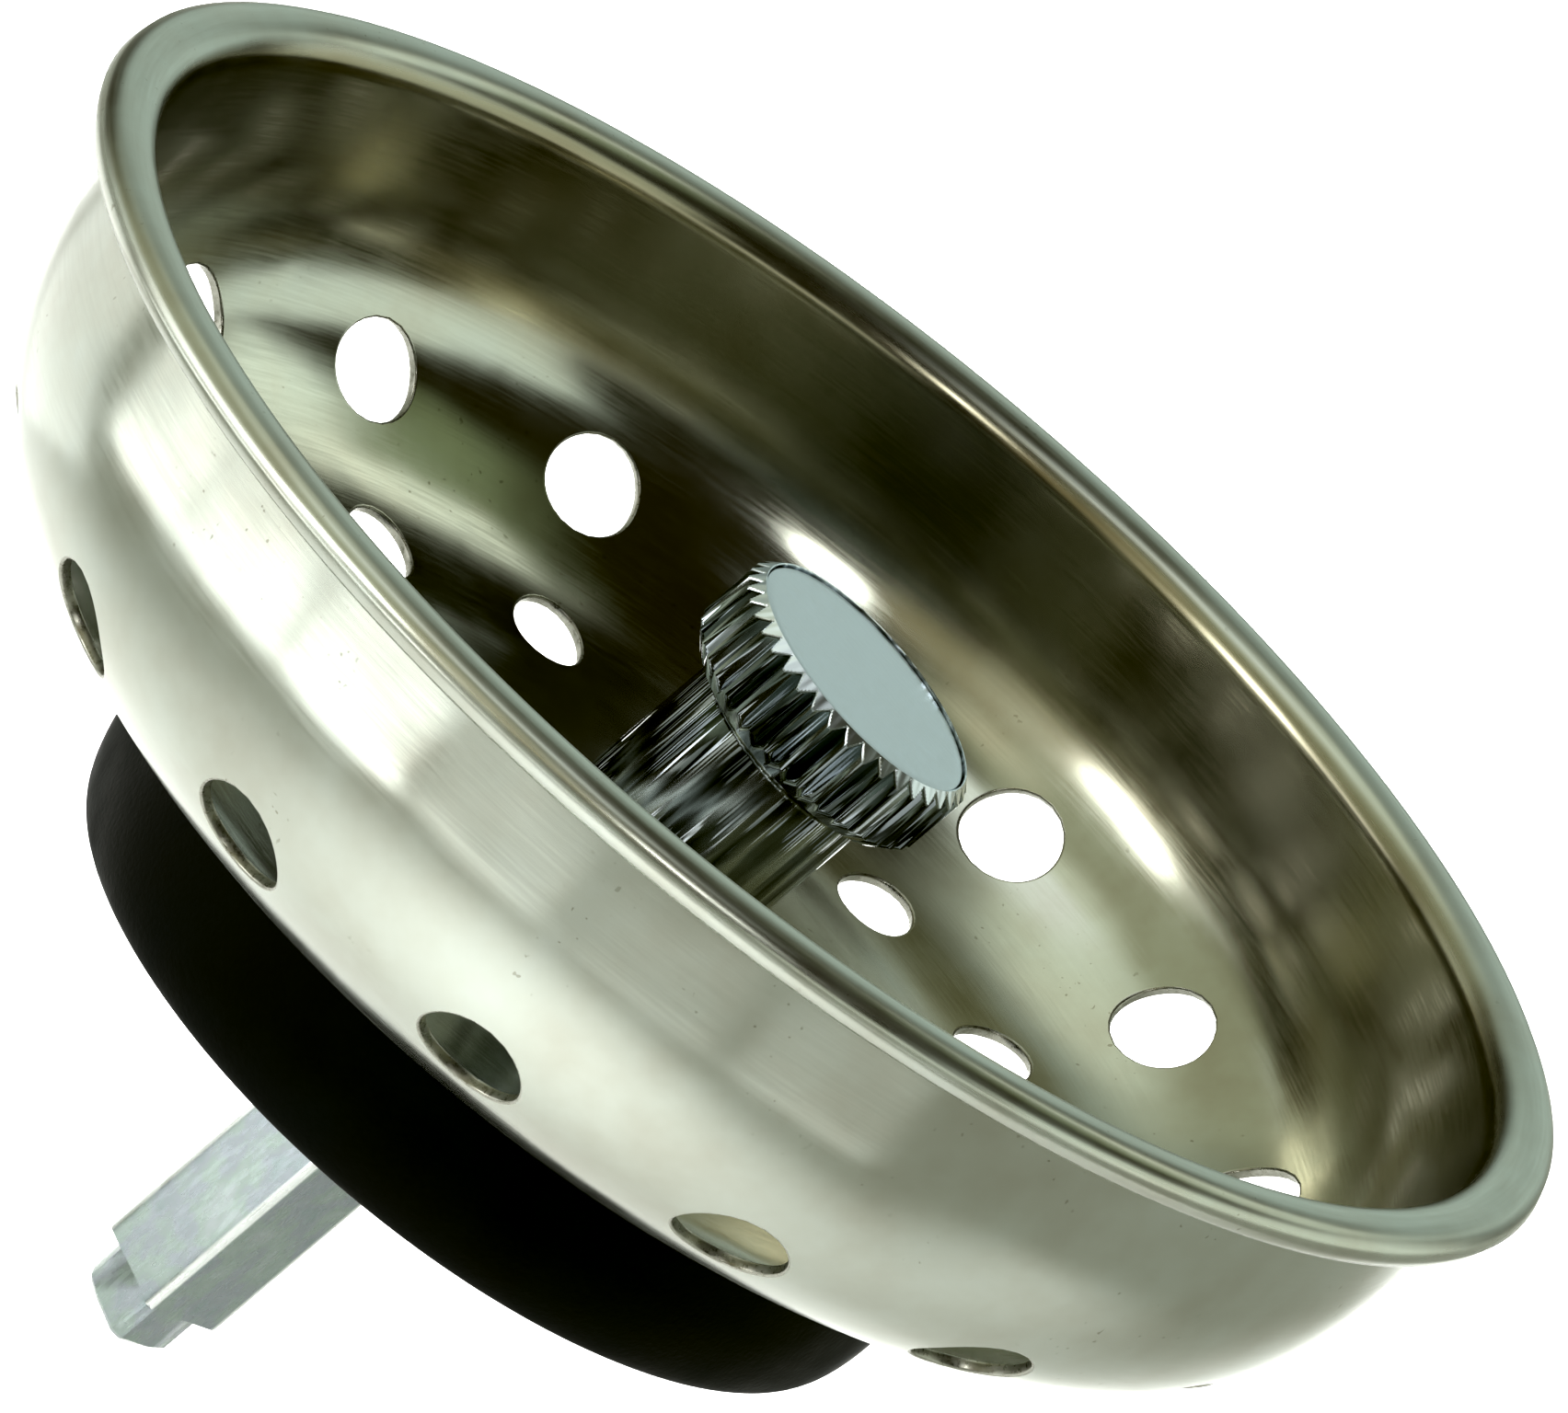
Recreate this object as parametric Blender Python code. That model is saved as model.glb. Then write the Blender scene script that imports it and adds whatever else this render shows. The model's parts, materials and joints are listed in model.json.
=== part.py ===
"""Sink basket strainer: a pressed and perforated basket with a rolled rim, a rubber stopper buttoned into
its floor, and a loose spindle through both, which is a knurled knob above and a square post below. The post
drops through the drain's crossbar to close it, and stands on the bar by its corner shoulders to hold it open.

Metres, +Z up. The origin is the centre of the plane that the rolled rim rests on, and Z is the basket's axis.
The spindle rocks about a pivot at the top of the stopper's collar, and here it leans as far as it can.
Its own pieces are drawn upright, with heights counted from that pivot, and two empties lean and turn them.
"""

import math

import bmesh
import bpy
from mathutils import Matrix, Vector

# Clearances and shared settings
SEAT_GAP = 0.0002  # between faces that rest on each other
SLIDE_GAP = 0.0002  # radial, round a pin, shank or disc that is pushed in
TURN_GAP = 0.0003  # radial, round the shank where it turns and rocks in the stopper
OVERRUN = 0.001  # how far a cutter runs past what it cuts
WELD = 1e-7  # points closer than this are one
SHARP = math.radians(32)  # edges that turn more than this stay crisp

# Basket, pressed from sheet. Radii of its wall and floor are those of the outside face
SHEET = 0.00055
RIM_RADIUS = 0.0413
RIM_HEIGHT = 0.00184
RIM_OVERHANG = 0.00265  # how far the rim stands out from the wall
RIM_INNER_BEND = 0.0009
LIP_LENGTH = 0.00048  # how far the rolled sheet runs back towards the wall, under the rim
WALL_DEPTH = 0.0046
CORNER_WIDTH = 0.00725
CORNER_HEIGHT = 0.0105
CORNER_SLOPE = math.radians(45)
BOWL_RADIUS = 0.0185
FLOOR_SLOPE = math.radians(4)
FLOOR_SEAT_RADIUS = 0.009  # flat middle of the floor
BASKET_SEGMENTS = 80
BEAD_STEPS = 6
BEND_STEPS = 2
CORNER_STEPS = 4
BOWL_STEPS = 3

# Drain holes, in two rings
HOLES_IN_RING = 16
UPPER_HOLE_RADIUS = 0.00262
LOWER_HOLE_RADIUS = 0.00205
LOWER_RING_INSET = 0.01145  # from the wall to the holes' centres
HOLE_SEGMENTS = 14

# Spindle, which leans towards +X and is square below the basket and round above
SPINDLE_LEAN = math.radians(9)
SPINDLE_TURN = math.radians(-38.5)
POST_WIDTH = 0.00507
POST_LENGTH = 0.0188
POST_EDGE = 0.00022
TIP_RADIUS = 0.0029
TIP_LENGTH = 0.0024
TIP_CHAMFER = 0.00025
SHANK_RADIUS = 0.0025
TAP_RADIUS = 0.0015
TAP_SPARE = 0.0018  # left below the end of the screw
SHANK_SEGMENTS = 32

# Knob
KNOB_HEIGHT = 0.0153
HEAD_RADIUS = 0.00715
HEAD_HEIGHT = 0.0044
HEAD_CHAMFER = 0.00085
HEAD_FOOT_CHAMFER = 0.0003
KNURL_TEETH = 40
KNURL_DEPTH = 0.00042
HEAD_OVERHANG = 0.00195  # how far the head stands out from the neck
NECK_FOOT_CHAMFER = 0.0003
NECK_FILLET = 0.0006
COUNTERBORE_DEPTH = 0.0032
KNOB_WEB = 0.003  # left between the counterbore and the socket for the shank

# Cap that closes the knob
CAP_BORDER = 0.0002  # the flat ring of the head round the cap's recess
CAP_THICKNESS = 0.0009
CAP_EDGE = 0.00015
CAP_SEGMENTS = 48

# Screw and its split washer
SCREW_RADIUS = 0.0013
SCREW_REACH = 0.0052  # how far it goes into the post
SCREW_HEAD_RADIUS = 0.0028
SCREW_HEAD_HEIGHT = 0.0017
SCREW_HEAD_DOME = 0.0005
SLOT_WIDTH = 0.0007
SLOT_DEPTH = 0.0008
LOCK_WASHER_RADIUS = 0.0027
LOCK_WASHER_THICKNESS = 0.0007
LOCK_WASHER_SPLIT = 0.0005
SCREW_SEGMENTS = 24

# Flat washers
WASHER_EDGE = 0.00012
WASHER_SEGMENTS = 28
FLOOR_WASHER_RADIUS = 0.0065
FLOOR_WASHER_THICKNESS = 0.0008
STOPPER_WASHER_RADIUS = 0.0065
STOPPER_WASHER_THICKNESS = 0.0008

# Rubber stopper, with a collar that buttons through the floor
STOPPER_MARGIN = 0.0023  # from its edge to the lower ring of holes, which it leaves open
STOPPER_HEIGHT = 0.0077  # from the flat middle of the floor down
STOPPER_ROUND_WIDTH = 0.0014
STOPPER_ROUND_HEIGHT = 0.005
STOPPER_TOP_EDGE = 0.0004
COLLAR_RADIUS = 0.0042
BUTTON_RADIUS = 0.0056
BUTTON_THICKNESS = 0.001
BUTTON_EDGE = 0.0003
STOPPER_SEGMENTS = 48
ROUND_STEPS = 4


def clear_scene():
    for obj in list(bpy.data.objects):
        bpy.data.objects.remove(obj, do_unlink=True)


def material(name, colour, metallic, roughness):
    made = bpy.data.materials.new(name)
    made.use_nodes = True
    shader = made.node_tree.nodes["Principled BSDF"]
    shader.inputs["Base Color"].default_value = (*colour, 1)
    shader.inputs["Metallic"].default_value = metallic
    shader.inputs["Roughness"].default_value = roughness
    return made


def new_object(name, mesh, finish=None, parent=None):
    obj = bpy.data.objects.new(name, mesh)
    bpy.context.scene.collection.objects.link(obj)
    if finish:
        mesh.materials.append(finish)
    obj.parent = parent
    return obj


def finish_mesh(name, bm):
    """Welds, turns the faces outwards and shades round stretches smooth."""
    bmesh.ops.remove_doubles(bm, verts=bm.verts, dist=WELD)
    bmesh.ops.recalc_face_normals(bm, faces=bm.faces)
    mesh = bpy.data.meshes.new(name)
    bm.to_mesh(mesh)
    bm.free()
    mesh.shade_smooth()
    mesh.set_sharp_from_angle(angle=SHARP)
    return mesh


def spin_outline(outline, segments):
    """Turns a closed outline of (radius, height) points about Z. Points on the axis close into poles."""
    bm = bmesh.new()
    verts = [bm.verts.new((radius, 0, height)) for radius, height in outline]
    edges = [bm.edges.new(pair) for pair in zip(verts, verts[1:] + verts[:1]) if on_axis(pair) < 2]
    bmesh.ops.spin(
        bm,
        geom=verts + edges,
        cent=(0, 0, 0),
        axis=(0, 0, 1),
        angle=2 * math.pi,
        steps=segments,
        use_merge=True,
    )
    return bm


def on_axis(pair):
    return sum(vert.co.x == 0 for vert in pair)


def lathe(name, outline, segments, finish, parent=None):
    return new_object(name, finish_mesh(name, spin_outline(outline, segments)), finish, parent)


def boolean(obj, operation, other):
    """Adds the Boolean and turns the other object into a hidden guide."""
    cut = obj.modifiers.new(operation.lower(), "BOOLEAN")
    cut.operation = operation
    cut.solver = "EXACT"
    cut.object = other
    other.hide_render = True
    other.display_type = "WIRE"
    other.parent = obj.parent


def turn_arc(centre, radius, start, end, steps):
    """Points on an arc of (radius, height), each with the unit vector from the centre to it."""
    points = []
    for step in range(steps + 1):
        angle = start + (end - start) * step / steps
        outwards = Vector((math.cos(angle), math.sin(angle)))
        points.append((Vector(centre) + radius * outwards, outwards))
    return points


# The pressed sheet

def wall_radius():
    return RIM_RADIUS - RIM_OVERHANG


def lower_ring_radius():
    return wall_radius() - LOWER_RING_INSET


def corner_points():
    """The outside of the lower corner: an ellipse, from the upright wall to its steepest allowed slope."""
    end = math.atan(CORNER_HEIGHT / CORNER_WIDTH * math.tan(math.pi / 2 - CORNER_SLOPE))
    points = []
    for step in range(1, CORNER_STEPS + 1):
        angle = end * step / CORNER_STEPS
        place = Vector((
            wall_radius() - CORNER_WIDTH * (1 - math.cos(angle)),
            -WALL_DEPTH - CORNER_HEIGHT * math.sin(angle),
        ))
        inwards = Vector((-math.cos(angle) / CORNER_WIDTH, math.sin(angle) / CORNER_HEIGHT))
        points.append((place, inwards.normalized()))
    return points


def sloped(angle):
    """The upward normal of a floor that falls towards the middle at this angle."""
    return Vector((-math.sin(angle), math.cos(angle)))


def bowl_centre():
    return corner_points()[-1][0] + BOWL_RADIUS * sloped(CORNER_SLOPE)


def bowl_end():
    return bowl_centre() - BOWL_RADIUS * sloped(FLOOR_SLOPE)


def floor_under(radius):
    """Height of the underside of the floor at a radius within the bowl."""
    radius = max(radius, FLOOR_SEAT_RADIUS)
    end = bowl_end()
    if radius <= end.x:
        return end.y - (end.x - radius) * math.tan(FLOOR_SLOPE)
    centre = bowl_centre()
    return centre.y - math.sqrt(BOWL_RADIUS**2 - (radius - centre.x) ** 2)


def floor_normal(radius):
    """Upward normal of the floor at a radius on the bowl or the dished floor."""
    return sloped(max(FLOOR_SLOPE, math.asin((radius - bowl_centre().x) / BOWL_RADIUS)))


def sheet_path():
    """The sheet's outer and under side, from the end of the rolled lip to the hole in the floor.

    Each point has the unit vector that crosses the sheet to its other side.
    """
    bead = RIM_HEIGHT / 2
    path = [(Vector((RIM_RADIUS - bead - LIP_LENGTH, SHEET)), Vector((0, -1)))]
    path += turn_arc((RIM_RADIUS - bead, bead), bead - SHEET, -math.pi / 2, math.pi / 2, BEAD_STEPS)
    bend_centre = (wall_radius() - SHEET + RIM_INNER_BEND, RIM_HEIGHT - RIM_INNER_BEND)
    path += turn_arc(bend_centre, RIM_INNER_BEND - SHEET, math.pi / 2, math.pi, BEND_STEPS)
    path.append((Vector((wall_radius(), -WALL_DEPTH)), Vector((-1, 0))))
    path += corner_points()
    for step in range(1, BOWL_STEPS + 1):
        slope = CORNER_SLOPE + (FLOOR_SLOPE - CORNER_SLOPE) * step / BOWL_STEPS
        path.append((bowl_centre() - BOWL_RADIUS * sloped(slope), sloped(slope)))
    floor = floor_under(0)
    path.append((Vector((FLOOR_SEAT_RADIUS, floor)), sloped(FLOOR_SLOPE / 2)))
    path.append((Vector((floor_hole_radius(), floor)), Vector((0, 1))))
    return path


def floor_hole_radius():
    return COLLAR_RADIUS + SLIDE_GAP


def hole_cutters(places):
    """One object with a punch for each hole, square to the sheet. A place is (point, normal, radius)."""
    bm = bmesh.new()
    length = SHEET + 2 * OVERRUN
    for place, normal, radius in places:
        middle = place + normal * SHEET / 2
        tilt = Vector((normal.x, 0, normal.y)).to_track_quat("Z", "Y").to_matrix().to_4x4()
        punch = Matrix.Translation((middle.x, 0, middle.y)) @ tilt
        for index in range(HOLES_IN_RING):
            spun = Matrix.Rotation(2 * math.pi * index / HOLES_IN_RING, 4, "Z")
            bmesh.ops.create_cone(
                bm,
                cap_ends=True,
                segments=HOLE_SEGMENTS,
                radius1=radius,
                radius2=radius,
                depth=length,
                matrix=spun @ punch,
            )
    return new_object("hole_punches", finish_mesh("hole_punches", bm))


def make_basket():
    path = sheet_path()
    other_side = [point + SHEET * across for point, across in reversed(path)]
    outline = [tuple(point) for point, _ in path] + [tuple(point) for point in other_side]
    steel = material("basket_steel", (0.72, 0.71, 0.68), 1, 0.28)
    basket = lathe("basket", outline, BASKET_SEGMENTS, steel)
    corner, across = corner_points()[-1]
    lower = Vector((lower_ring_radius(), floor_under(lower_ring_radius())))
    rings = [
        (corner, across, UPPER_HOLE_RADIUS),
        (lower, floor_normal(lower.x), LOWER_HOLE_RADIUS),
    ]
    boolean(basket, "DIFFERENCE", hole_cutters(rings))
    return basket


# Heights in the basket

def button_foot():
    return floor_under(0) + SHEET + SEAT_GAP


def pivot_height():
    return button_foot() + BUTTON_THICKNESS


def stopper_foot():
    return floor_under(0) - STOPPER_HEIGHT


# Heights along the spindle, from the pivot

def rock_lift(radius):
    """How far off a flat face at the pivot a disc has to be, for its edge to clear it in a full lean."""
    return (SEAT_GAP + radius * math.sin(SPINDLE_LEAN)) / math.cos(SPINDLE_LEAN)


def floor_washer_foot():
    return rock_lift(FLOOR_WASHER_RADIUS)


def knob_foot():
    return floor_washer_foot() + FLOOR_WASHER_THICKNESS + SEAT_GAP


def knob_top():
    return knob_foot() + KNOB_HEIGHT


def counterbore_top():
    return knob_top() - CAP_THICKNESS - SEAT_GAP


def counterbore_foot():
    return counterbore_top() - COUNTERBORE_DEPTH


def socket_top():
    return counterbore_foot() - KNOB_WEB


def shank_top():
    return socket_top() - SEAT_GAP


def screw_end():
    return shank_top() - SCREW_REACH


def stopper_washer_foot():
    drop = (pivot_height() - stopper_foot()) / math.cos(SPINDLE_LEAN)
    return -drop - rock_lift(STOPPER_WASHER_RADIUS) - STOPPER_WASHER_THICKNESS


def shoulder():
    return stopper_washer_foot() - SEAT_GAP


def washer_outline(hole, radius, foot, thickness):
    top = foot + thickness
    return [
        (hole, foot),
        (radius - WASHER_EDGE, foot),
        (radius, foot + WASHER_EDGE),
        (radius, top - WASHER_EDGE),
        (radius - WASHER_EDGE, top),
        (hole, top),
    ]


def make_washer(name, radius, foot, thickness, finish, rock_axis):
    outline = washer_outline(SHANK_RADIUS + SLIDE_GAP, radius, foot, thickness)
    return lathe(name, outline, WASHER_SEGMENTS, finish, rock_axis)


def make_flat_washers(rock_axis):
    steel = material("washer_steel", (0.66, 0.66, 0.65), 1, 0.3)
    foot = floor_washer_foot()
    make_washer("floor_washer", FLOOR_WASHER_RADIUS, foot, FLOOR_WASHER_THICKNESS, steel, rock_axis)
    foot = stopper_washer_foot()
    make_washer("stopper_washer", STOPPER_WASHER_RADIUS, foot, STOPPER_WASHER_THICKNESS, steel, rock_axis)


# Knob, its cap and its screw

def cap_radius():
    return HEAD_RADIUS - HEAD_CHAMFER - CAP_BORDER - SLIDE_GAP


def knob_outline():
    foot = knob_foot()
    top = knob_top()
    head_foot = top - HEAD_HEIGHT
    neck = HEAD_RADIUS - HEAD_OVERHANG
    recess = cap_radius() + SLIDE_GAP
    counterbore = SCREW_HEAD_RADIUS + SLIDE_GAP
    screw_hole = SCREW_RADIUS + SLIDE_GAP
    socket = SHANK_RADIUS + SLIDE_GAP
    root = HEAD_RADIUS - KNURL_DEPTH
    return [
        (socket, foot),
        (neck - NECK_FOOT_CHAMFER, foot),
        (neck, foot + NECK_FOOT_CHAMFER),
        (neck, head_foot - NECK_FILLET),
        (neck + NECK_FILLET, head_foot),
        (root - HEAD_FOOT_CHAMFER, head_foot),
        (HEAD_RADIUS, head_foot + HEAD_FOOT_CHAMFER + KNURL_DEPTH),
        (HEAD_RADIUS, top - HEAD_CHAMFER),
        (HEAD_RADIUS - HEAD_CHAMFER, top),
        (recess, top),
        (recess, counterbore_top()),
        (counterbore, counterbore_top()),
        (counterbore, counterbore_foot()),
        (screw_hole, counterbore_foot()),
        (screw_hole, socket_top()),
        (socket, socket_top()),
    ]


def cut_knurl(bm):
    """Presses every second line of points round the head inwards, which leaves pointed teeth."""
    pitch = 2 * math.pi / KNURL_TEETH
    for vert in bm.verts:
        radius = math.hypot(vert.co.x, vert.co.y)
        turn = math.atan2(vert.co.y, vert.co.x) / pitch
        if radius > HEAD_RADIUS - WELD and abs(turn - round(turn)) > 1 / KNURL_TEETH:
            vert.co.xy *= (radius - KNURL_DEPTH) / radius


def make_knob(turn_axis):
    chrome = material("knob_chrome", (0.62, 0.63, 0.64), 1, 0.08)
    bm = spin_outline(knob_outline(), 2 * KNURL_TEETH)
    bmesh.ops.remove_doubles(bm, verts=bm.verts, dist=WELD)
    cut_knurl(bm)
    return new_object("knob", finish_mesh("knob", bm), chrome, turn_axis)


def make_cap(turn_axis):
    satin = material("cap_aluminium", (0.62, 0.66, 0.7), 1, 0.35)
    foot = counterbore_top() + SEAT_GAP
    top = foot + CAP_THICKNESS
    outline = [
        (0, foot),
        (cap_radius(), foot),
        (cap_radius(), top - CAP_EDGE),
        (cap_radius() - CAP_EDGE, top),
        (0, top),
    ]
    return lathe("knob_cap", outline, CAP_SEGMENTS, satin, turn_axis)


def slot_cutter(name, length, width, foot, height):
    """A bar across the axis, centred on it, from foot up."""
    bm = bmesh.new()
    bmesh.ops.create_cube(bm, size=1)
    bmesh.ops.scale(bm, vec=(length, width, height), verts=bm.verts)
    bmesh.ops.translate(bm, vec=(0, 0, foot + height / 2), verts=bm.verts)
    return new_object(name, finish_mesh(name, bm))


def make_screw(turn_axis):
    steel = material("screw_steel", (0.6, 0.6, 0.6), 1, 0.3)
    foot = counterbore_foot() + LOCK_WASHER_THICKNESS + 2 * SEAT_GAP
    top = foot + SCREW_HEAD_HEIGHT
    outline = [
        (0, screw_end()),
        (SCREW_RADIUS, screw_end()),
        (SCREW_RADIUS, foot),
        (SCREW_HEAD_RADIUS, foot),
        (SCREW_HEAD_RADIUS, top - SCREW_HEAD_DOME),
        (SCREW_HEAD_RADIUS - SCREW_HEAD_DOME, top),
        (0, top),
    ]
    screw = lathe("knob_screw", outline, SCREW_SEGMENTS, steel, turn_axis)
    length = 2 * (SCREW_HEAD_RADIUS + OVERRUN)
    slot = slot_cutter("screw_slot", length, SLOT_WIDTH, top - SLOT_DEPTH, SLOT_DEPTH + OVERRUN)
    boolean(screw, "DIFFERENCE", slot)
    return screw


def make_lock_washer(turn_axis):
    steel = material("spring_steel", (0.5, 0.5, 0.5), 1, 0.35)
    hole = SCREW_RADIUS + SLIDE_GAP
    foot = counterbore_foot() + SEAT_GAP
    outline = washer_outline(hole, LOCK_WASHER_RADIUS, foot, LOCK_WASHER_THICKNESS)
    washer = lathe("lock_washer", outline, SCREW_SEGMENTS, steel, turn_axis)
    reach = LOCK_WASHER_RADIUS + OVERRUN
    height = LOCK_WASHER_THICKNESS + 2 * OVERRUN
    split = slot_cutter("lock_washer_split", reach, LOCK_WASHER_SPLIT, foot - OVERRUN, height)
    for vert in split.data.vertices:
        vert.co.x += reach / 2
    boolean(washer, "DIFFERENCE", split)
    return washer


# Stopper, and the post below it

def bore_radius(height):
    """The stopper's bore at a height in the basket. It flares downwards from the pivot for the lean."""
    drop = pivot_height() - height
    return SHANK_RADIUS / math.cos(SPINDLE_LEAN) + drop * math.tan(SPINDLE_LEAN) + TURN_GAP


def make_stopper():
    rubber = material("stopper_rubber", (0.012, 0.013, 0.016), 0, 0.45)
    foot = stopper_foot()
    seat = floor_under(0) - SEAT_GAP
    radius = lower_ring_radius() - LOWER_HOLE_RADIUS - STOPPER_MARGIN
    edge = radius - STOPPER_TOP_EDGE
    outline = [(bore_radius(foot), foot), (radius - STOPPER_ROUND_WIDTH, foot)]
    for step in range(1, ROUND_STEPS + 1):
        angle = math.pi / 2 * step / ROUND_STEPS
        outline.append((
            radius - STOPPER_ROUND_WIDTH * (1 - math.sin(angle)),
            foot + STOPPER_ROUND_HEIGHT * (1 - math.cos(angle)),
        ))
    outline += [
        (radius, floor_under(radius) - SEAT_GAP - STOPPER_TOP_EDGE),
        (edge, floor_under(edge) - SEAT_GAP),
        (FLOOR_SEAT_RADIUS, seat),
        (COLLAR_RADIUS, seat),
        (COLLAR_RADIUS, button_foot()),
        (BUTTON_RADIUS, button_foot()),
        (BUTTON_RADIUS, pivot_height() - BUTTON_EDGE),
        (BUTTON_RADIUS - BUTTON_EDGE, pivot_height()),
        (bore_radius(pivot_height()), pivot_height()),
    ]
    return lathe("stopper", outline, STOPPER_SEGMENTS, rubber)


def square_bar(foot, height):
    """The square length of the post, its long edges rounded off."""
    bm = bmesh.new()
    bmesh.ops.create_cube(bm, size=1)
    bmesh.ops.scale(bm, vec=(POST_WIDTH, POST_WIDTH, height), verts=bm.verts)
    bmesh.ops.translate(bm, vec=(0, 0, foot + height / 2), verts=bm.verts)
    upright = [edge for edge in bm.edges if edge.verts[0].co.xy == edge.verts[1].co.xy]
    bmesh.ops.bevel(bm, geom=upright, offset=POST_EDGE, segments=2, profile=0.5, affect="EDGES")
    return finish_mesh("post", bm)


def make_post(turn_axis):
    zinc = material("post_zinc", (0.62, 0.66, 0.68), 1, 0.32)
    foot = shoulder() - POST_LENGTH
    post = new_object("post", square_bar(foot, POST_LENGTH), zinc, turn_axis)
    shank = [
        (0, shoulder() - OVERRUN),
        (SHANK_RADIUS, shoulder() - OVERRUN),
        (SHANK_RADIUS, shank_top() - TIP_CHAMFER),
        (SHANK_RADIUS - TIP_CHAMFER, shank_top()),
        (0, shank_top()),
    ]
    boolean(post, "UNION", lathe("post_shank", shank, SHANK_SEGMENTS, None))
    tap_foot = screw_end() - TAP_SPARE
    tap = [
        (0, tap_foot - TAP_RADIUS),
        (TAP_RADIUS, tap_foot),
        (TAP_RADIUS, shank_top() + OVERRUN),
        (0, shank_top() + OVERRUN),
    ]
    boolean(post, "DIFFERENCE", lathe("post_tap", tap, SCREW_SEGMENTS, None))
    turning = [
        (TIP_RADIUS - TIP_CHAMFER, foot - OVERRUN),
        (POST_WIDTH, foot - OVERRUN),
        (POST_WIDTH, foot + TIP_LENGTH),
        (TIP_RADIUS, foot + TIP_LENGTH),
        (TIP_RADIUS, foot + TIP_CHAMFER),
        (TIP_RADIUS - TIP_CHAMFER, foot),
    ]
    boolean(post, "DIFFERENCE", lathe("post_tip_turning", turning, SHANK_SEGMENTS, None))
    return post


def make_axes():
    """Two empties at the pivot: one leans towards +X, and the other turns about the leaning axis."""
    rock_axis = new_object("rock_axis", None)
    rock_axis.location.z = pivot_height()
    rock_axis.rotation_euler.y = SPINDLE_LEAN
    turn_axis = new_object("turn_axis", None, parent=rock_axis)
    turn_axis.rotation_euler.z = SPINDLE_TURN
    return rock_axis, turn_axis


def main():
    clear_scene()
    make_basket()
    make_stopper()
    rock_axis, turn_axis = make_axes()
    make_flat_washers(rock_axis)
    make_knob(turn_axis)
    make_cap(turn_axis)
    make_screw(turn_axis)
    make_lock_washer(turn_axis)
    make_post(turn_axis)


main()
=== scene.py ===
"""Sink basket strainer, dressed: smooth meshes and materials over the solids, in metres, +Z up.

The basket's sheet is drawn as a grid that bends round each drain hole.
Everything else is a loft of rings.
"""

import json
import math

import bmesh
import bpy
import numpy as np
from mathutils import Matrix, Vector


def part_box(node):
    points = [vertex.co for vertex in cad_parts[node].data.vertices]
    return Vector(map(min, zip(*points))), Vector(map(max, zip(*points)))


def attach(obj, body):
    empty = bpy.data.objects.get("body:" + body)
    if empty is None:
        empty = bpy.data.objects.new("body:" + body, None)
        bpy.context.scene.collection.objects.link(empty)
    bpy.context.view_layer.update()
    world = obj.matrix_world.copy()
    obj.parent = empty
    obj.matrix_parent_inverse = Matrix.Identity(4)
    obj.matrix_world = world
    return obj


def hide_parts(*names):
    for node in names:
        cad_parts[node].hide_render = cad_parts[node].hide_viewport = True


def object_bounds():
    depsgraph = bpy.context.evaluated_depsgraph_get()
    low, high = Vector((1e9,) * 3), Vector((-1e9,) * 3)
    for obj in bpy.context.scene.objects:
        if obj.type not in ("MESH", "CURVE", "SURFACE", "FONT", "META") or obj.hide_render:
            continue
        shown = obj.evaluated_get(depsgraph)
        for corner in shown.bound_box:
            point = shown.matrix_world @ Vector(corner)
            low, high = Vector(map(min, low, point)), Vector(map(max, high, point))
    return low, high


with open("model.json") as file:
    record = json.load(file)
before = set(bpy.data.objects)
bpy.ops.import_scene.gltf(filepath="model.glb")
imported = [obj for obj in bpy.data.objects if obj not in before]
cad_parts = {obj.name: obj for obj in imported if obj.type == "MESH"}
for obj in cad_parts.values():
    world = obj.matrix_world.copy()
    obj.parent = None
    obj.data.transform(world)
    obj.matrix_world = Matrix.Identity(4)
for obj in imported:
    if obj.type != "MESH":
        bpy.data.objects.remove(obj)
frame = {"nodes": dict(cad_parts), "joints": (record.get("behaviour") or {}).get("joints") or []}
cad_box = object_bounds()

# Basket, as in the solids but for the bend inside the rim
SHEET = 0.00055
RIM_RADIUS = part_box("basket")[1].x
RIM_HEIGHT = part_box("basket")[1].z
RIM_INNER_BEND = 0.0015
LIP_RADIUS = 0.0399
WALL_RADIUS = 0.03865
WALL_DEPTH = 0.0046
CORNER_WIDTH = 0.00725
CORNER_HEIGHT = 0.0105
CORNER_SLOPE = math.radians(45)
BOWL_RADIUS = 0.0185
FLOOR_SLOPE = math.radians(4)
FLOOR_SEAT_RADIUS = 0.009
FLOOR_HOLE_RADIUS = 0.0044
HOLES_IN_RING = 16
UPPER_HOLE_RADIUS = 0.00262
LOWER_HOLE_RADIUS = 0.00205
LOWER_RING_RADIUS = 0.0272

# How finely the basket is drawn
EDGE_ROUND = 0.00012  # punched and trimmed edges
EDGE_STEPS = 4
EDGE_SUPPORT = 0.00005  # a narrow band beside each edge, which keeps the shading beside it flat
PATCH_MARGIN = 0.0009  # from a hole's edge to the edge of its patch
SECTOR_COLUMNS = 12
PATCH_ROWS = 12
PATCH_RINGS = 7
PATCH_CROWDING = 1.5  # above 1, the patch's rings lie closer together near the hole
ROW_STEP = 0.00045
CURVE_STEPS = 160
WELD_DISTANCE = 0.000001

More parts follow.
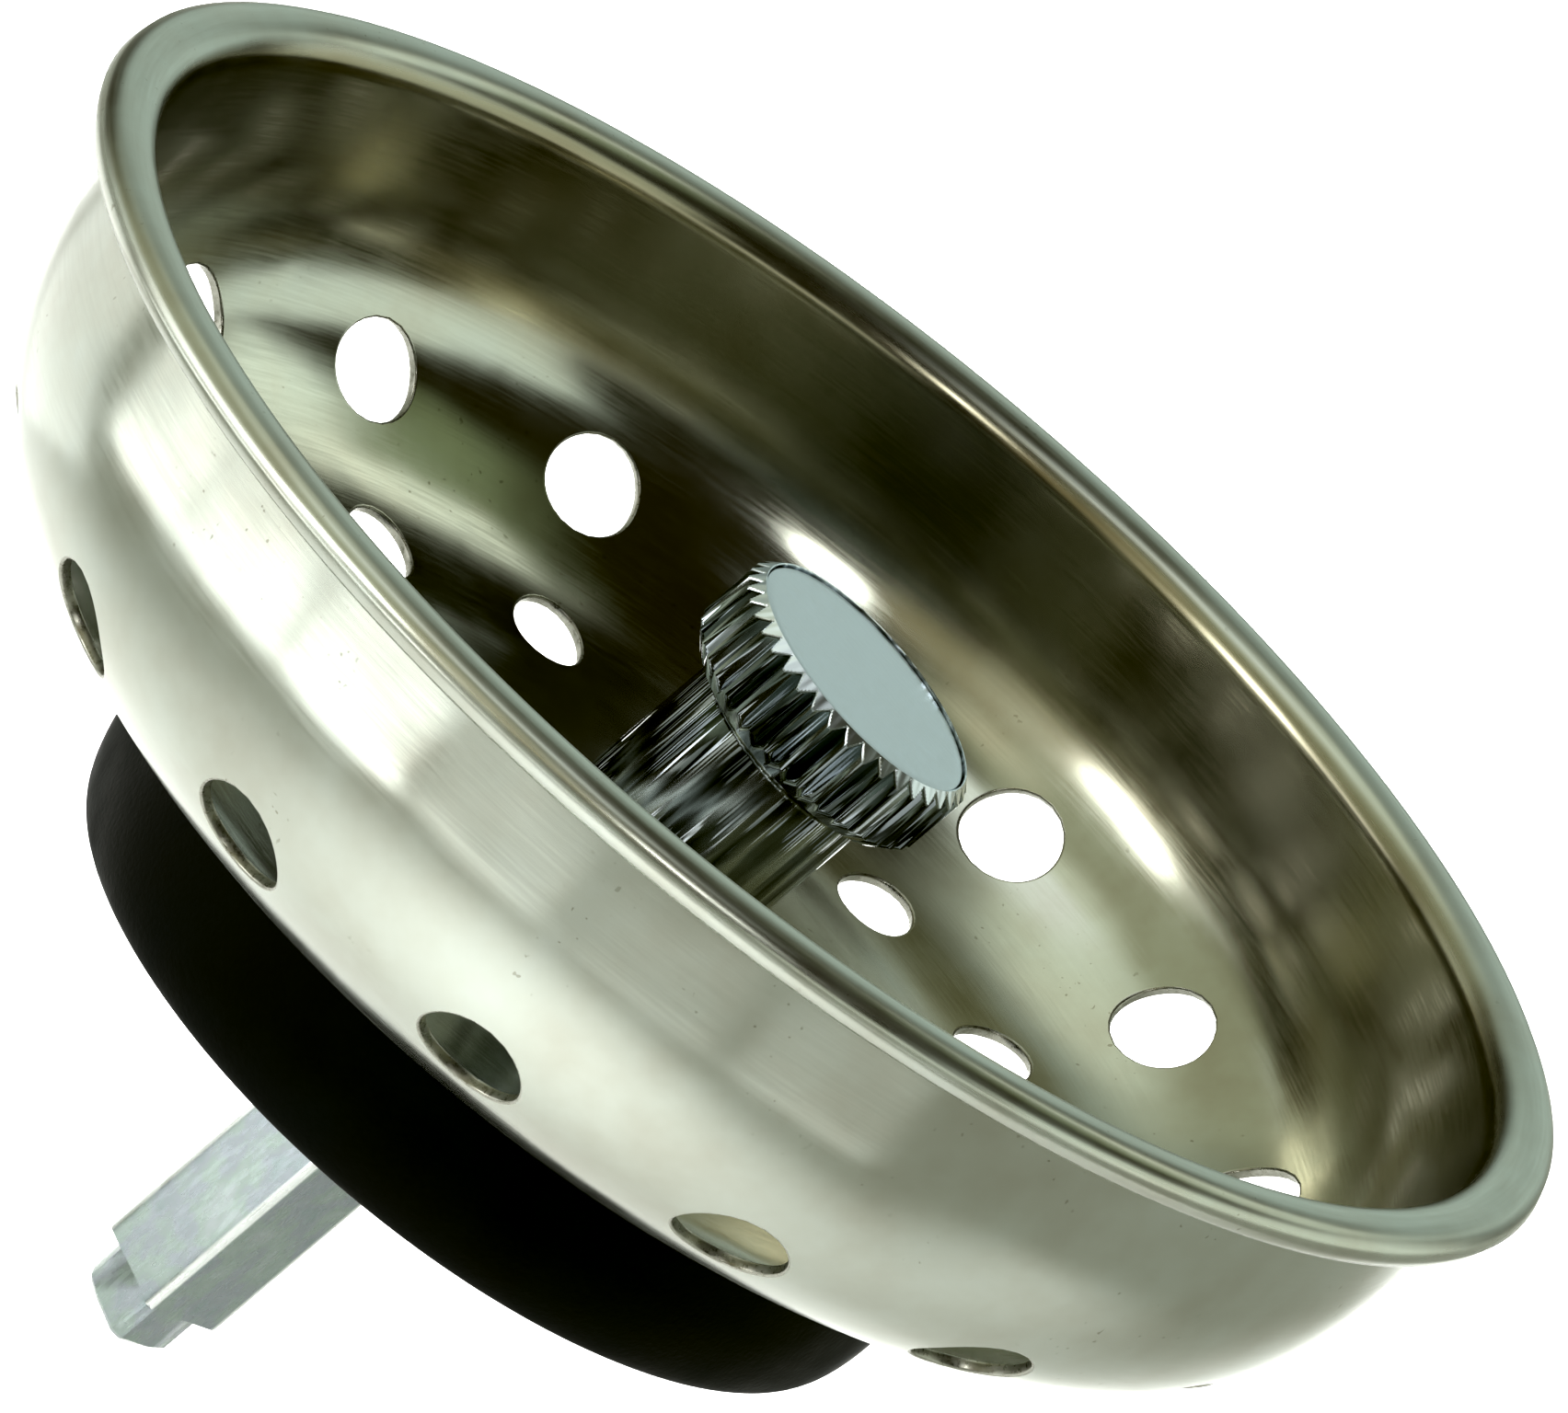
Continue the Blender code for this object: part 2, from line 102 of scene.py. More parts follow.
# Spindle. Its cap, top chamfer and tip follow the photograph more closely than the solids do
POST_WIDTH = 0.00507
POST_LENGTH = 0.01879
POST_EDGE = 0.00022
TIP_RADIUS = 0.0029
TIP_LENGTH = 0.0024
TIP_UNEVEN = 0.0004  # two opposite corners of the tip are cut deeper, and the other two less
TIP_CHAMFER = 0.00025
STEP_CHAMFER = 0.00008  # at the post's shoulder, and where its tip begins
SHANK_RADIUS = 0.0025
KNOB_HEIGHT = 0.0153
HEAD_RADIUS = 0.00715
HEAD_HEIGHT = 0.0044
HEAD_CHAMFER = 0.00056
HEAD_FOOT_CHAMFER = 0.0003
KNURL_TEETH = 40
KNURL_DEPTH = 0.0005
KNURL_FLANK = 0.84  # the share of half a tooth that its straight side takes
NECK_RADIUS = 0.0052
NECK_FOOT_CHAMFER = 0.0003
NECK_FILLET = 0.0006
NECK_SUPPORT = 0.0001  # a narrow band below the fillet, which keeps the neck's shading flat
SOCKET_DEPTH = 0.008
COUNTERBORE_DEPTH = 0.0032
COUNTERBORE_RADIUS = 0.003
SCREW_HOLE_RADIUS = 0.0015
CAP_RADIUS = 0.0065
CAP_GAP = 0.00002
CAP_SUNK = 0.00012  # the cap's top lies this far below the knob's
CAP_SUPPORT = 0.9  # a ring at this share of the radius, which keeps the top's shading flat
RECESS_DIP = 0.00003  # the knob's top falls this far towards the cap
CAP_THICKNESS = 0.0009
CAP_EDGE = 0.00015
WASHER_RADIUS = 0.0065
WASHER_THICKNESS = 0.0008
WASHER_EDGE = 0.00012
SEAT_GAP = 0.0002
SLIDE_GAP = 0.0002
TURN_GAP = 0.0003

# Stopper
STOPPER_RADIUS = 0.02285
STOPPER_ROUND_WIDTH = 0.0014
STOPPER_ROUND_HEIGHT = 0.005
STOPPER_TOP_EDGE = 0.0004
COLLAR_RADIUS = 0.0042
BUTTON_RADIUS = 0.0056
BUTTON_THICKNESS = 0.001
BUTTON_EDGE = 0.0003

# How finely the turned pieces are drawn
ROUND = 256  # facets round a turned piece
WASHER_ROUND = 96
FLOOR_ROUND = 64
SMALL_EDGE_STEPS = 3
TOOTH_STEPS = 12
KNURL_FOOT_RINGS = 5
KNURL_TOP_RINGS = 6
STOPPER_TOP_STRIDE = 12  # the stopper follows every twelfth point of the bowl's curve
POST_EDGE_ANGLES = 9
POST_FLAT_ANGLES = 5
SHARP = math.radians(30)

# The spindle is drawn upright about its pivot, then turned and leant into place
KNOB_TURN = next(joint for joint in frame["joints"] if joint["name"] == "knob_turn")
PIVOT = Vector(KNOB_TURN["pos_m"])
LEAN = math.asin(KNOB_TURN["axis"][0])
SPINDLE_TURN = math.radians(-38.5)
UPRIGHT_TO_PLACE = (
    Matrix.Translation(PIVOT)
    @ Matrix.Rotation(LEAN, 4, "Y")
    @ Matrix.Rotation(SPINDLE_TURN, 4, "Z")
)


# Meshes

def piece(name, verts, faces, node, body, finish, place=None):
    """A visible piece that rides a body and stands in for a node of the solids."""
    mesh = bpy.data.meshes.new(name)
    mesh.from_pydata(verts, [], faces)
    if place:
        mesh.transform(place)
    mesh.validate()
    mesh.shade_smooth()
    mesh.set_sharp_from_angle(angle=SHARP)
    mesh.materials.append(finish)
    obj = bpy.data.objects.new(name, mesh)
    bpy.context.scene.collection.objects.link(obj)
    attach(obj, body)
    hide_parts(node)
    return obj


def loft(rings, angles):
    """Verts and faces through closed rings of (radius, height).

    A radius is one number, or one per angle. The first and last ring are joined where they have
    a radius, and close to a point where it is zero. Where two rings meet in the same place,
    they share their verts, and no face is left between them.
    """
    faces, rows, indices = [], [], {}
    count = len(angles)
    for radius, height in rings:
        radii = np.broadcast_to(radius, count)
        ring = [(r * math.cos(a), r * math.sin(a), height) for r, a in zip(radii, angles)]
        rows.append([indices.setdefault(vert, len(indices)) for vert in ring])
    pairs = list(zip(rows, rows[1:]))
    if np.max(rings[0][0]) > 0:
        pairs.append((rows[-1], rows[0]))
    for low, high in pairs:
        for i in range(count):
            j = (i + 1) % count
            corners = tuple(dict.fromkeys((low[i], low[j], high[j], high[i])))
            if len(corners) > 2:
                faces.append(corners)
    return list(indices), faces


def round_angles(count=ROUND):
    return [2 * math.pi * i / count for i in range(count)]


def quarter(centre, width, height, start, steps):
    """An elliptical quarter turn of (radius, height), from the start angle on."""
    points = []
    for step in range(steps + 1):
        angle = start + math.pi / 2 * step / steps
        points.append((centre[0] + width * math.cos(angle), centre[1] + height * math.sin(angle)))
    return points


# The pressed sheet

def corner_curve():
    """The wall's round lower corner, as (place on the outside, direction across the sheet)."""
    end = math.atan(CORNER_HEIGHT / CORNER_WIDTH * math.tan(math.pi / 2 - CORNER_SLOPE))
    curve = []
    for angle in np.linspace(0, end, CURVE_STEPS):
        place = Vector((
            WALL_RADIUS - CORNER_WIDTH * (1 - math.cos(angle)),
            -WALL_DEPTH - CORNER_HEIGHT * math.sin(angle),
        ))
        across = Vector((-math.cos(angle) / CORNER_WIDTH, math.sin(angle) / CORNER_HEIGHT))
        curve.append((place, across.normalized()))
    return curve


def sloped(angle):
    """Direction across a sheet that slopes down to the axis at an angle."""
    return Vector((-math.sin(angle), math.cos(angle)))


def arc(centre, radius, start, end):
    """The same for a round bend, between two angles."""
    curve = []
    for angle in np.linspace(start, end, CURVE_STEPS):
        outwards = Vector((math.cos(angle), math.sin(angle)))
        curve.append((Vector(centre) + radius * outwards, outwards))
    return curve


def bowl_curve():
    """The same for the hollow of the bowl, down to where the floor's gentle slope starts."""
    start = corner_curve()[-1][0]
    centre = start + BOWL_RADIUS * sloped(CORNER_SLOPE)
    slopes = np.linspace(CORNER_SLOPE, FLOOR_SLOPE, CURVE_STEPS)
    return [(centre - BOWL_RADIUS * sloped(slope), sloped(slope)) for slope in slopes]


def floor_height():
    """Height of the underside of the floor's flat middle."""
    end = bowl_curve()[-1][0]
    return end.y - (end.x - FLOOR_SEAT_RADIUS) * math.tan(FLOOR_SLOPE)


class Sheet:
    """The pressed sheet, laid out by angle round the axis and by distance along it.

    The distance runs from the cut lip round the rolled rim, down the wall and in along the bowl
    to the hole in the floor. It is measured at half the sheet's thickness.
    """

    def __init__(self):
        bead = RIM_HEIGHT / 2  # the rolled rim's radius
        curve = [(Vector((LIP_RADIUS, SHEET)), Vector((0, -1)))]
        curve += arc((RIM_RADIUS - bead, bead), bead - SHEET, -math.pi / 2, math.pi / 2)
        bend_centre = (WALL_RADIUS - SHEET + RIM_INNER_BEND, RIM_HEIGHT - RIM_INNER_BEND)
        curve += arc(bend_centre, RIM_INNER_BEND - SHEET, math.pi / 2, math.pi)
        curve += corner_curve()
        corner_end = len(curve) - 1
        curve += bowl_curve()[1:]
        curve.append((Vector((FLOOR_SEAT_RADIUS, floor_height())), Vector((0, 1))))
        curve.append((Vector((FLOOR_HOLE_RADIUS, floor_height())), Vector((0, 1))))
        self.place = np.array([place for place, _ in curve])
        self.across = np.array([across for _, across in curve])
        middle = self.place + self.across * SHEET / 2
        steps = np.linalg.norm(np.diff(middle, axis=0), axis=1)
        self.along = np.concatenate([[0], np.cumsum(steps)])
        self.length = self.along[-1]
        self.upper_ring = self.along[corner_end]
        below = np.where(self.place[:, 1] < -WALL_DEPTH - CORNER_HEIGHT / 2)[0]
        radii = self.place[below, 0]
        self.lower_ring = float(np.interp(-LOWER_RING_RADIUS, -radii, self.along[below]))

    def radius(self, along):
        return np.interp(along, self.along, self.place[:, 0])

    def points(self, angle, along, lift):
        """World points by angle, distance along, and lift from the outside towards the inside."""
        place = [np.interp(along, self.along, self.place[:, i]) for i in (0, 1)]
        across = np.array([np.interp(along, self.along, self.across[:, i]) for i in (0, 1)])
        across /= np.linalg.norm(across, axis=0)
        radius = place[0] + across[0] * lift
        height = place[1] + across[1] * lift
        return np.stack([radius * np.cos(angle), radius * np.sin(angle), height], axis=1)


def edge_profile():
    """A cut edge's (inset, lift) points, from the sheet's outside to its inside, both rounded."""
    turn = [math.pi / 2 * step / EDGE_STEPS for step in range(EDGE_STEPS + 1)]
    first = [(EDGE_ROUND * (1 - math.sin(a)), EDGE_ROUND * (1 - math.cos(a))) for a in turn]
    return first + [(inset, SHEET - lift) for inset, lift in reversed(first)]


def sector_rows(start, end):
    count = max(2, round((end - start) / ROW_STEP))
    return list(np.linspace(start, end, count + 1))


def add_grid(quads, rows, columns, lift):
    """Adds quads of (angle, along, lift) between rows along the sheet and columns round it."""
    for low, high in zip(rows, rows[1:]):
        for left, right in zip(columns, columns[1:]):
            corners = ((left, low), (right, low), (right, high), (left, high))
            quads.append([(*corner, lift) for corner in corners])


def hole_ring(sheet, centre, radius, lift, frame_points):
    """Points (angle, along, lift) round a hole's centre, one towards each point of its frame."""
    ring = []
    for angle, along in frame_points:
        turn = math.atan2(along - centre, angle * sheet.radius(centre))
        place = centre + radius * math.sin(turn)
        ring.append((radius * math.cos(turn) / sheet.radius(place), place, lift))
    return ring


def patch_frame(half_angle, start, end):
    """The points round the edge of a hole's patch, which are those of the grids beside it."""
    columns = list(np.linspace(-half_angle, half_angle, SECTOR_COLUMNS + 1))
    rows = list(np.linspace(start, end, PATCH_ROWS + 1))
    points = [(angle, start) for angle in columns[:-1]]
    points += [(half_angle, along) for along in rows[:-1]]
    points += [(angle, end) for angle in reversed(columns[1:])]
    points += [(-half_angle, along) for along in reversed(rows[1:])]
    return points


def add_rings(quads, rings):
    """Adds quads between closed rings of points."""
    for inner, outer in zip(rings, rings[1:]):
        count = len(inner)
        for i in range(count):
            j = (i + 1) % count
            quads.append([inner[i], inner[j], outer[j], outer[i]])


def add_hole(quads, cuts, sheet, centre, radius, half_angle):
    """Adds a hole's patch and its punched wall, and returns where the patch starts and ends."""
    reach = radius + PATCH_MARGIN
    points = patch_frame(half_angle, centre - reach, centre + reach)
    for lift in (0, SHEET):
        near = hole_ring(sheet, centre, radius + EDGE_ROUND, lift, points)
        beside = hole_ring(sheet, centre, radius + EDGE_ROUND + EDGE_SUPPORT, lift, points)
        rings = [near]
        for step in range(PATCH_RINGS + 1):
            share = (step / PATCH_RINGS) ** PATCH_CROWDING
            rings.append([
                (angle + (outer[0] - angle) * share, along + (outer[1] - along) * share, lift)
                for (angle, along, _), outer in zip(beside, points)
            ])
        add_rings(quads, rings)
    add_rings(cuts, [
        hole_ring(sheet, centre, radius + inset, lift, points) for inset, lift in edge_profile()
    ])
    return centre - reach, centre + reach


def sector_quads(sheet):
    """The quads round one hole of each ring, and which of them are on a punched wall."""
    half_angle = math.pi / HOLES_IN_RING
    columns = list(np.linspace(-half_angle, half_angle, SECTOR_COLUMNS + 1))
    quads, cuts = [], []
    upper = add_hole(quads, cuts, sheet, sheet.upper_ring, UPPER_HOLE_RADIUS, half_angle)
    lower = add_hole(quads, cuts, sheet, sheet.lower_ring, LOWER_HOLE_RADIUS, half_angle)
    ends = (EDGE_ROUND, sheet.length - EDGE_ROUND)
    for start, end in ((ends[0], upper[0]), (upper[1], lower[0]), (lower[1], ends[1])):
        for lift in (0, SHEET):
            add_grid(quads, sector_rows(start, end), columns, lift)
    lip_edge = edge_profile()
    floor_edge = [(sheet.length - inset, lift) for inset, lift in lip_edge]
    for edge in (lip_edge, floor_edge):
        for (low, low_lift), (high, high_lift) in zip(edge, edge[1:]):
            for left, right in zip(columns, columns[1:]):
                quads.append([
                    (left, low, low_lift),
                    (right, low, low_lift),
                    (right, high, high_lift),
                    (left, high, high_lift),
                ])
    return np.array(quads + cuts), [0] * len(quads) + [1] * len(cuts)


def basket_mesh():
    """World corners of all the basket's quads, and which quads are on a punched wall."""
    sheet = Sheet()
    sector, cut = sector_quads(sheet)
    sector = sector.reshape(-1, 3)
    parts = []
    for index in range(HOLES_IN_RING):
        turned = sector + [2 * math.pi * index / HOLES_IN_RING, 0, 0]
        parts.append(sheet.points(*turned.T))
    return np.concatenate(parts), cut * HOLES_IN_RING


def make_basket(finish, cut_finish):
    """Welds the sectors' corners and turns the faces outwards."""
    corners, cut = basket_mesh()
    faces = np.arange(len(corners)).reshape(-1, 4)
    obj = piece("pressed_basket", corners.tolist(), faces.tolist(), "basket", "basket", finish)
    obj.data.materials.append(cut_finish)
    obj.data.polygons.foreach_set("material_index", cut)
    bm = bmesh.new()
    bm.from_mesh(obj.data)
    bmesh.ops.remove_doubles(bm, verts=bm.verts, dist=WELD_DISTANCE)
    bmesh.ops.recalc_face_normals(bm, faces=bm.faces)
    bm.to_mesh(obj.data)
    bm.free()
    obj.data.shade_smooth()


# Turned pieces

def rock_lift(radius):
    """Height along the spindle at which a disc of a radius clears the stopper, however it rocks."""
    return (SEAT_GAP + radius * math.sin(LEAN)) / math.cos(LEAN)


KNOB_FOOT = rock_lift(WASHER_RADIUS) + WASHER_THICKNESS + SEAT_GAP
KNOB_TOP = KNOB_FOOT + KNOB_HEIGHT
STOPPER_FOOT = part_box("stopper")[0].z
STOPPER_WASHER_TOP = -(PIVOT.z - STOPPER_FOOT) / math.cos(LEAN) - rock_lift(WASHER_RADIUS)
SHOULDER = STOPPER_WASHER_TOP - WASHER_THICKNESS - SEAT_GAP


def tooth_share(step):
    """How far out the knurl is at a step of one tooth, flat at its crest and straight beside it."""
    side = abs(step / TOOTH_STEPS * 2 - 1)
    return min(1, (1 - side) / KNURL_FLANK)


def make_knob(finish):
    angles = round_angles(KNURL_TEETH * TOOTH_STEPS)
    teeth = np.array([tooth_share(i % TOOTH_STEPS) for i in range(len(angles))])
    root = HEAD_RADIUS - KNURL_DEPTH
    knurl = root + KNURL_DEPTH * teeth
    head_foot = KNOB_TOP - HEAD_HEIGHT
    counterbore_top = KNOB_TOP - CAP_THICKNESS - SEAT_GAP
    recess = CAP_RADIUS + CAP_GAP
    socket = SHANK_RADIUS + SLIDE_GAP
    rings = [
        (socket, KNOB_FOOT),
        (NECK_RADIUS - NECK_FOOT_CHAMFER, KNOB_FOOT),
        (NECK_RADIUS, KNOB_FOOT + NECK_FOOT_CHAMFER),
    ]
    fillet_centre = (NECK_RADIUS + NECK_FILLET, head_foot - NECK_FILLET)
    rings.append((NECK_RADIUS, fillet_centre[1] - NECK_SUPPORT))
    rings += quarter(fillet_centre, -NECK_FILLET, NECK_FILLET, start=0, steps=6)
    rings.append((root - HEAD_FOOT_CHAMFER, head_foot))
    for share in np.linspace(0, 1, KNURL_FOOT_RINGS):
        low = head_foot + HEAD_FOOT_CHAMFER + share * KNURL_DEPTH
        rings.append((np.minimum(knurl, root + share * KNURL_DEPTH), low))
    for share in np.linspace(1, 0, KNURL_TOP_RINGS):
        high = KNOB_TOP - HEAD_CHAMFER + (1 - share) * KNURL_DEPTH
        rings.append((np.minimum(knurl, root + share * KNURL_DEPTH), high))
    rings += [
        (HEAD_RADIUS - HEAD_CHAMFER, KNOB_TOP),
        (recess, KNOB_TOP - RECESS_DIP),
        (recess, counterbore_top),
        (COUNTERBORE_RADIUS, counterbore_top),
        (COUNTERBORE_RADIUS, counterbore_top - COUNTERBORE_DEPTH),
        (SCREW_HOLE_RADIUS, counterbore_top - COUNTERBORE_DEPTH),
        (SCREW_HOLE_RADIUS, KNOB_FOOT + SOCKET_DEPTH),
        (socket, KNOB_FOOT + SOCKET_DEPTH),
    ]
    verts, faces = loft(rings, angles)
    piece("knurled_knob", verts, faces, "knob", "spindle", finish, UPRIGHT_TO_PLACE)


def make_cap(finish):
    foot = KNOB_TOP - CAP_THICKNESS
    top = KNOB_TOP - CAP_SUNK
    edge_centre = (CAP_RADIUS - CAP_EDGE, top - CAP_EDGE)
    rings = [(0, foot), (CAP_RADIUS, foot)]
    rings += quarter(edge_centre, CAP_EDGE, CAP_EDGE, start=0, steps=SMALL_EDGE_STEPS)
    rings += [(CAP_RADIUS * CAP_SUPPORT, top), (0, top)]
    verts, faces = loft(rings, round_angles())
    piece("knob_disc", verts, faces, "knob_cap", "spindle", finish, UPRIGHT_TO_PLACE)


def make_washer(name, node, foot, finish):
    top = foot + WASHER_THICKNESS
    hole = SHANK_RADIUS + SLIDE_GAP
    flat = WASHER_RADIUS - WASHER_EDGE
    rings = [(hole, foot)]
    for height, start in ((foot + WASHER_EDGE, -math.pi / 2), (top - WASHER_EDGE, 0)):
        rings += quarter((flat, height), WASHER_EDGE, WASHER_EDGE, start, SMALL_EDGE_STEPS)
    rings.append((hole, top))
    verts, faces = loft(rings, round_angles(WASHER_ROUND))
    piece(name, verts, faces, node, "rocker", finish, UPRIGHT_TO_PLACE)


def bore_radius(height):
    """Radius of the stopper's bore, which flares downwards to let the shank rock."""
    drop = PIVOT.z - height
    return SHANK_RADIUS / math.cos(LEAN) + drop * math.tan(LEAN) + TURN_GAP


def make_stopper(finish):
    seat = floor_height() - SEAT_GAP
    edge = STOPPER_RADIUS - STOPPER_TOP_EDGE
    bowl = [(place.x, place.y - SEAT_GAP) for place, _ in bowl_curve()]
    heights = np.interp([edge, STOPPER_RADIUS], *zip(*reversed(bowl)))
    rim = [(radius, height) for radius, height in bowl if radius < edge]
    button_foot = PIVOT.z - BUTTON_THICKNESS
    width, height = STOPPER_ROUND_WIDTH, STOPPER_ROUND_HEIGHT
    foot_centre = (STOPPER_RADIUS - width, STOPPER_FOOT + height)
    button_centre = (BUTTON_RADIUS - BUTTON_EDGE, PIVOT.z - BUTTON_EDGE)
    rings = [(bore_radius(STOPPER_FOOT), STOPPER_FOOT)]
    rings += quarter(foot_centre, width, height, start=-math.pi / 2, steps=16)
    rings += [(STOPPER_RADIUS, heights[1] - STOPPER_TOP_EDGE), (edge, heights[0])]
    rings += rim[::STOPPER_TOP_STRIDE]
    rings += [
        (FLOOR_SEAT_RADIUS, seat),
        (COLLAR_RADIUS, seat),
        (COLLAR_RADIUS, button_foot),
        (BUTTON_RADIUS, button_foot),
    ]
    rings += quarter(button_centre, BUTTON_EDGE, BUTTON_EDGE, start=0, steps=4)
    rings.append((bore_radius(PIVOT.z), PIVOT.z))
    verts, faces = loft(rings, round_angles())
    piece("rubber_stopper", verts, faces, "stopper", "basket", finish)


def square_radius(angle, width):
    """Distance from the axis to a square bar with rounded edges, at an angle."""
    half = width / 2
    turned = abs((angle + math.pi / 4) % (math.pi / 2) - math.pi / 4)
    flat = half / math.cos(turned)
    if flat * math.sin(turned) <= half - POST_EDGE:
        return flat
    centre = half - POST_EDGE
    middle = centre * (math.cos(turned) + math.sin(turned))
    return middle + math.sqrt(middle**2 - 2 * centre**2 + POST_EDGE**2)


def post_angles():
    """Angles round the post: few across each flat, many round each edge, and one where
    the tip's turning starts.
    """
    half = POST_WIDTH / 2
    meets = math.acos(half / TIP_RADIUS)
    bend = math.atan2(half - POST_EDGE, half)
    edge = list(np.linspace(bend, math.pi / 2 - bend, POST_EDGE_ANGLES))
    across = [-meets, 0, meets]
    between = list(np.linspace(meets, bend, POST_FLAT_ANGLES))[1:-1]
    after = [math.pi / 2 - angle for angle in reversed(between)]
    quarter_turn = across + between + edge + after
    return [angle + math.pi / 2 * side for side in range(4) for angle in quarter_turn]


def make_post(finish):
    foot = SHOULDER - POST_LENGTH
    step = foot + TIP_LENGTH
    angles = post_angles()
    square = np.array([square_radius(angle, POST_WIDTH) for angle in angles])
    turned = TIP_RADIUS - TIP_UNEVEN * np.cos(2 * (np.array(angles) - math.pi / 4))
    tip = np.minimum(square, turned)
    shank_top = KNOB_FOOT + SOCKET_DEPTH - SEAT_GAP
    rings = [
        (0, foot),
        (tip - TIP_CHAMFER, foot),
        (tip, foot + TIP_CHAMFER),
        (tip, step - STEP_CHAMFER),
        (np.minimum(square, turned + STEP_CHAMFER), step),
        (np.minimum(square, square.max() - STEP_CHAMFER), step),
        (square, step + STEP_CHAMFER),
        (square, SHOULDER - STEP_CHAMFER),
        (square - STEP_CHAMFER, SHOULDER),
        (SHANK_RADIUS, SHOULDER),
        (SHANK_RADIUS, shank_top - TIP_CHAMFER),
        (SHANK_RADIUS - TIP_CHAMFER, shank_top),
        (0, shank_top),
    ]
    verts, faces = loft(rings, angles)
    piece("square_post", verts, faces, "post", "spindle", finish, UPRIGHT_TO_PLACE)


# Materials

MM = 1000  # in a metre
# Painted shade, multiplied into the inside of the basket's wall above the bowl
INNER_WALL_PAINTED_SHADE = (0.62, 0.57, 0.47)
SPECK = (0.68, 0.66, 0.62)
# Painted highlights, on the knob's top chamfer and on the post's corners
CHAMFER_PAINTED_HIGHLIGHT = (0.70, 0.77, 0.82)
CORNER_PAINTED_HIGHLIGHT = (0.85, 0.88, 0.88)
SHEET_SHARES = (0.94, 0.99)  # the sheet's inside and outside, as shares of the corner's ellipse

# Where an effect starts and ends, in millimetres
PAINTED_SHADE_HEIGHTS = (-10, -7)  # the inside is painted darker and browner above these, as painted shade
RIM_DULLING = (1.5, 0.1)  # below the rim's top, from bright to dull
CHAMFER_HIGHLIGHT_SPAN = (0.14, 0.04)  # inside the knob's top chamfer, which is painted bright as a highlight
CORNER_HIGHLIGHT_SPAN = (3.32, 3.42)  # from the post's axis, where its corners are painted bright as a highlight


class Nodes:
    """The node tree of a material or of the surround, added to one node at a time."""

    def __init__(self, owner):
        owner.use_nodes = True
        self.tree = owner.node_tree

    def new(self, kind):
        return self.tree.nodes.new("ShaderNode" + kind)

    def add(self, kind, links=None, values=None, **properties):
        """Adds a node, links its inputs or sets them, and returns its first output."""
        made = self.new(kind)
        for name, value in properties.items():
            setattr(made, name, value)
        for socket, value in (values or {}).items():
            made.inputs[socket].default_value = value
        for socket, output in (links or {}).items():
            self.tree.links.new(output, made.inputs[socket])
        return made.outputs[0]

    def plus(self, first, second):
        return self.add("Math", {0: first, 1: second}, operation="ADD")

    def times(self, first, second):
        return self.add("Math", {0: first, 1: second}, operation="MULTIPLY")

    def length(self, first, second):
        """The square root of the sum of their squares."""
        squares = [self.times(side, side) for side in (first, second)]
        return self.add("Math", {0: self.plus(*squares)}, operation="SQRT")

    def mix(self, colour, share, other, blend="MIX"):
        """Blends a plain colour into another by a share."""
        made = self.new("Mix")
        made.data_type = "RGBA"
        made.blend_type = blend
        made.inputs["B"].default_value = (*other, 1)
        self.tree.links.new(colour, made.inputs["A"])
        self.tree.links.new(share, made.inputs["Factor"])
        return made.outputs["Result"]


